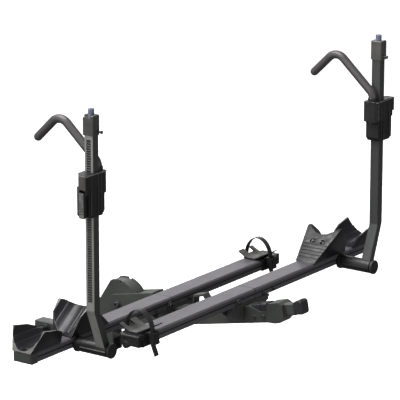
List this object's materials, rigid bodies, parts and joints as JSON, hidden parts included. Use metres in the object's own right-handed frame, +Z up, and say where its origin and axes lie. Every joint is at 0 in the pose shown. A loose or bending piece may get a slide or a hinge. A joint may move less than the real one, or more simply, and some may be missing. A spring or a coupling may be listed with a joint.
{
  "type": "hitch mounted bike rack",
  "caption": "Hitch mounted platform bike rack with folding wheel-hook masts, wheel chocks and ratchet strap cradles on a tilting spine",
  "frame": {"origin": "where the hitch bolt crosses the centreline of the square shank", "axes": "+Y along the shank into the vehicle, +Z up, +X across the vehicle"},
  "size_m": [1.612, 1.1324, 1.0949],
  "materials": {
    "frame_paint": "dark green-grey textured powder coat",
    "tray_paint": "charcoal powder coat on extruded aluminium",
    "mast_paint": "charcoal powder coat on extruded aluminium",
    "black_plastic": "moulded black nylon",
    "scoop_plastic": "moulded black, smooth where the tyre rests",
    "hook_rubber": "steel tube with a dark rubbery coat",
    "strap": "flexible ladder strap",
    "dark_bolt": "black oxide",
    "steel": "plain steel",
    "key_core": "blue-grey key core"
  },
  "bodies": {
    "mount": {"hitch_shank": "frame_paint", "hitch_thread_block": "steel", "hub_plates": "frame_paint", "hub_rim": "frame_paint", "pivot_bolt": "dark_bolt"},
    "bolt_washer": {"hitch_washer": "steel"},
    "bolt": {"hitch_bolt": "steel", "hitch_knob": "black_plastic"},
    "knob_core": {"hitch_knob_core": "key_core"},
    "spine": {"spine_tube": "frame_paint", "saddle_a": "frame_paint", "saddle_b": "frame_paint", "spine_arch": "frame_paint", "handle_casing_upper": "black_plastic", "handle_casing_end": "black_plastic", "handle_bolts": "dark_bolt", "tray_sleeves": "steel", "tray_bolts": "dark_bolt", "tray_outer_caps": "black_plastic", "tray_inner_caps": "black_plastic", "foot_stubs": "frame_paint", "foot_axles": "steel", "chock_bolts": "dark_bolt", "tray_a_outer": "tray_paint", "tray_a_inner": "tray_paint", "tray_b_outer": "tray_paint", "tray_b_inner": "tray_paint", "outer_scoop_a": "scoop_plastic", "outer_scoop_b": "scoop_plastic", "inner_scoop_a": "scoop_plastic", "inner_scoop_b": "scoop_plastic"},
    "grip": {"tilt_grip": "black_plastic", "pull_rod": "steel", "lock_dog": "steel"},
    "mast_body_a": {"mast_a": "mast_paint", "mast_strip_a": "black_plastic", "mast_cap_a": "black_plastic", "cap_pin_a": "dark_bolt"},
    "mast_core_a": {"cap_core_a": "key_core"},
    "foot_button_a": {"mast_button_a": "black_plastic"},
    "hook_a": {"carriage_a": "black_plastic", "hook_arm_a": "hook_rubber"},
    "lever_a": {"release_lever_a": "black_plastic"},
    "rear_a": {"cradle_a": "black_plastic", "wheel_strap_a": "strap", "buckle_a": "black_plastic"},
    "ratchet_a": {"buckle_lever_a": "black_plastic"},
    "mast_body_b": {"mast_b": "mast_paint", "mast_strip_b": "black_plastic", "mast_cap_b": "black_plastic", "cap_pin_b": "dark_bolt"},
    "mast_core_b": {"cap_core_b": "key_core"},
    "foot_button_b": {"mast_button_b": "black_plastic"},
    "hook_b": {"carriage_b": "black_plastic", "hook_arm_b": "hook_rubber"},
    "lever_b": {"release_lever_b": "black_plastic"},
    "rear_b": {"cradle_b": "black_plastic", "wheel_strap_b": "strap", "buckle_b": "black_plastic"},
    "ratchet_b": {"buckle_lever_b": "black_plastic"}
  },
  "joints": [
    {"name": "spine_tilt", "type": "hinge", "parent": "mount", "child": "spine", "pos_m": [0, -0.317, 0.151], "axis": [-1, 0, 0], "range_deg": [0, 78.4]},
    {"name": "handle_pull", "type": "slide", "parent": "spine", "child": "grip", "axis": [0, -0.9796, 0.2011], "range_m": [0, 0.012], "stiffness_N_per_m": 900, "springref_m": -0.012},
    {"name": "hitch_bolt_travel", "type": "slide", "parent": "mount", "child": "bolt_washer", "axis": [-1, 0, 0], "range_m": [0, 0.0093]},
    {"name": "hitch_bolt_turn", "type": "hinge", "parent": "bolt_washer", "child": "bolt", "pos_m": [0, 0, 0], "axis": [-1, 0, 0], "range_deg": [0, 1440]},
    {"name": "knob_core_turn", "type": "hinge", "parent": "bolt", "child": "knob_core", "pos_m": [-0.065, 0, 0], "axis": [-1, 0, 0], "range_deg": [0, 90]},
    {"name": "mast_fold_a", "type": "hinge", "parent": "spine", "child": "mast_body_a", "pos_m": [-0.562, -0.619, 0.195], "axis": [0, 1, 0], "range_deg": [0, 80]},
    {"name": "foot_button_press_a", "type": "slide", "parent": "mast_body_a", "child": "foot_button_a", "axis": [0, 1, 0], "range_m": [0, 0.0045], "stiffness_N_per_m": 1500, "springref_m": -0.003},
    {"name": "mast_core_turn_a", "type": "hinge", "parent": "mast_body_a", "child": "mast_core_a", "pos_m": [-0.618, -0.666, 0.972], "axis": [0, 0, 1], "range_deg": [0, 90]},
    {"name": "hook_slide_a", "type": "slide", "parent": "mast_body_a", "child": "hook_a", "axis": [0, 0, 1], "range_m": [-0.28, 0.106]},
    {"name": "lever_pull_a", "type": "hinge", "parent": "hook_a", "child": "lever_a", "pos_m": [-0.672, -0.666, 0.744], "axis": [0, 1, 0], "range_deg": [0, 14], "stiffness_Nm_per_rad": 1.2, "springref_deg": -14.32},
    {"name": "cradle_slide_a", "type": "slide", "parent": "spine", "child": "rear_a", "axis": [-1, 0, 0], "range_m": [0, 0.275]},
    {"name": "ratchet_lift_a", "type": "hinge", "parent": "rear_a", "child": "ratchet_a", "pos_m": [0.537, -0.5805, 0.222], "axis": [-1, 0, 0], "range_deg": [0, 45], "stiffness_Nm_per_rad": 0.15, "springref_deg": -22.92},
    {"name": "mast_fold_b", "type": "hinge", "parent": "spine", "child": "mast_body_b", "pos_m": [0.562, -0.91, 0.25753], "axis": [0, -1, 0], "range_deg": [0, 80]},
    {"name": "foot_button_press_b", "type": "slide", "parent": "mast_body_b", "child": "foot_button_b", "axis": [0, 1, 0], "range_m": [0, 0.0045], "stiffness_N_per_m": 1500, "springref_m": -0.003},
    {"name": "mast_core_turn_b", "type": "hinge", "parent": "mast_body_b", "child": "mast_core_b", "pos_m": [0.618, -0.957, 1.03453], "axis": [0, 0, 1], "range_deg": [0, 90]},
    {"name": "hook_slide_b", "type": "slide", "parent": "mast_body_b", "child": "hook_b", "axis": [0, 0, 1], "range_m": [-0.258, 0.128]},
    {"name": "lever_pull_b", "type": "hinge", "parent": "hook_b", "child": "lever_b", "pos_m": [0.672, -0.957, 0.78453], "axis": [0, -1, 0], "range_deg": [0, 14], "stiffness_Nm_per_rad": 1.2, "springref_deg": -14.32},
    {"name": "cradle_slide_b", "type": "slide", "parent": "spine", "child": "rear_b", "axis": [1, 0, 0], "range_m": [0, 0.3]},
    {"name": "ratchet_lift_b", "type": "hinge", "parent": "rear_b", "child": "ratchet_b", "pos_m": [-0.562, -0.8715, 0.28453], "axis": [-1, 0, 0], "range_deg": [0, 45], "stiffness_Nm_per_rad": 0.15, "springref_deg": -22.92}
  ],
  "couplings": [
    {"joint": "hitch_bolt_travel", "follows": "hitch_bolt_turn", "m_per_rad": 0.0003675}
  ]
}
